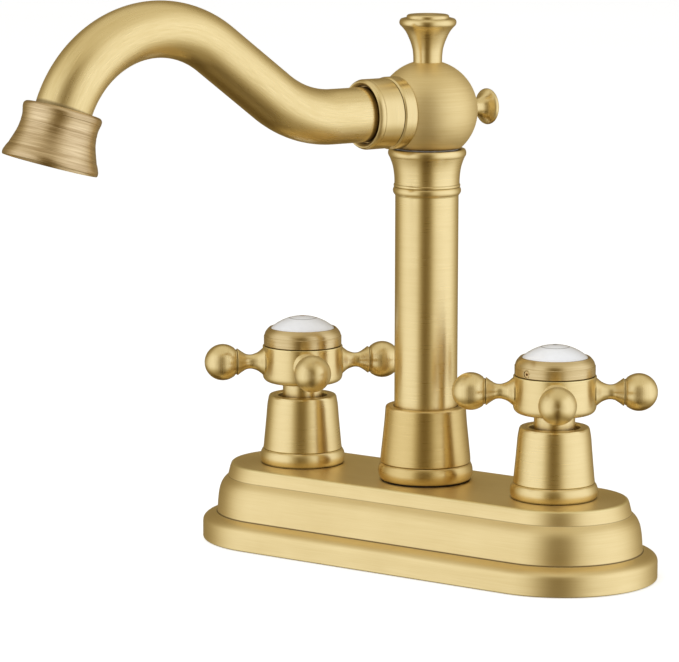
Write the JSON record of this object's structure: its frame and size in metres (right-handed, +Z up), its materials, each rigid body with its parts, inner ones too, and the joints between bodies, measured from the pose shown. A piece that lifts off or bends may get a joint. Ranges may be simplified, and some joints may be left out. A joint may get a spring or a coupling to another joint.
{
  "type": "two-handle basin mixer tap",
  "caption": "Deck-mounted centre-set basin mixer with cross handles, a column and a swivelling swan-neck spout in brushed gold.",
  "frame": {"origin": "centre of the flat underside of the base, on the axis of the column", "axes": "+Z up along the column, +X from the column to the cold (right) handle, -Y towards the user in front of the basin"},
  "size_m": [0.1702, 0.1807, 0.1892],
  "materials": {
    "brushed_gold": "satin brushed gold over solid brass, clear lacquered",
    "brushed_gold_tip": "coarser brushed gold, slightly browner",
    "raw_brass": "as machined, hidden inside",
    "porcelain": "glossy white glaze",
    "ceramic_disc": "lapped alumina",
    "rubber_seal": "black rubber",
    "foam_gasket": "black closed-cell foam rubber",
    "ptfe": "white low-friction plastic",
    "aerator_plastic": "dark moulded plastic",
    "steel_screen": "perforated stainless plate",
    "steel_screw": "stainless steel"
  },
  "bodies": {
    "base": {"deck_plate": "brushed_gold", "deck_gasket": "foam_gasket", "hot_valve_body": "raw_brass", "cold_valve_body": "raw_brass", "centre_tee": "raw_brass", "cross_tubes": "raw_brass", "hot_bell": "brushed_gold", "cold_bell": "brushed_gold", "column_gasket": "rubber_seal", "column_bell": "brushed_gold", "column_tube": "brushed_gold", "column_capital": "brushed_gold", "riser_tube": "raw_brass", "swivel_housing": "raw_brass", "swivel_grub_screw": "steel_screw", "swivel_washer": "ptfe", "hot_cartridge_body": "raw_brass", "cold_cartridge_body": "raw_brass", "hot_fixed_disc": "ceramic_disc", "cold_fixed_disc": "ceramic_disc", "hot_seat_seal": "rubber_seal", "cold_seat_seal": "rubber_seal"},
    "hot_handle": {"hot_spindle": "raw_brass", "hot_moving_disc": "ceramic_disc", "hot_spindle_o_rings": "rubber_seal", "hot_handle_hub": "brushed_gold", "hot_arm_1": "brushed_gold", "hot_arm_2": "brushed_gold", "hot_arm_3": "brushed_gold", "hot_arm_4": "brushed_gold", "hot_cap_ring": "brushed_gold", "hot_index_button": "porcelain", "hot_handle_screw": "steel_screw", "hot_set_screw": "steel_screw"},
    "cold_handle": {"cold_spindle": "raw_brass", "cold_moving_disc": "ceramic_disc", "cold_spindle_o_rings": "rubber_seal", "cold_handle_hub": "brushed_gold", "cold_arm_1": "brushed_gold", "cold_arm_2": "brushed_gold", "cold_arm_3": "brushed_gold", "cold_arm_4": "brushed_gold", "cold_cap_ring": "brushed_gold", "cold_index_button": "porcelain", "cold_handle_screw": "steel_screw", "cold_set_screw": "steel_screw"},
    "spout": {"spout_ball": "brushed_gold", "swivel_spigot": "raw_brass", "swivel_o_rings": "rubber_seal", "spout_nipple": "brushed_gold", "spout_union_nut": "brushed_gold", "spout_washer": "rubber_seal", "spout_tube": "brushed_gold", "tip_shell": "brushed_gold_tip", "aerator_washer": "rubber_seal", "aerator_housing": "aerator_plastic", "aerator_screen": "steel_screen", "finial": "brushed_gold", "rear_knob": "brushed_gold"}
  },
  "joints": [
    {"name": "hot_handle_turn", "type": "hinge", "parent": "base", "child": "hot_handle", "pos_m": [-0.0508, 0, 0.061], "axis": [0, 0, 1], "range_deg": [0, 90]},
    {"name": "cold_handle_turn", "type": "hinge", "parent": "base", "child": "cold_handle", "pos_m": [0.0508, 0, 0.061], "axis": [0, 0, 1], "range_deg": [-90, 0]},
    {"name": "spout_swivel", "type": "hinge", "parent": "base", "child": "spout", "pos_m": [0, 0, 0.1369], "axis": [0, 0, 1], "continuous": true}
  ]
}
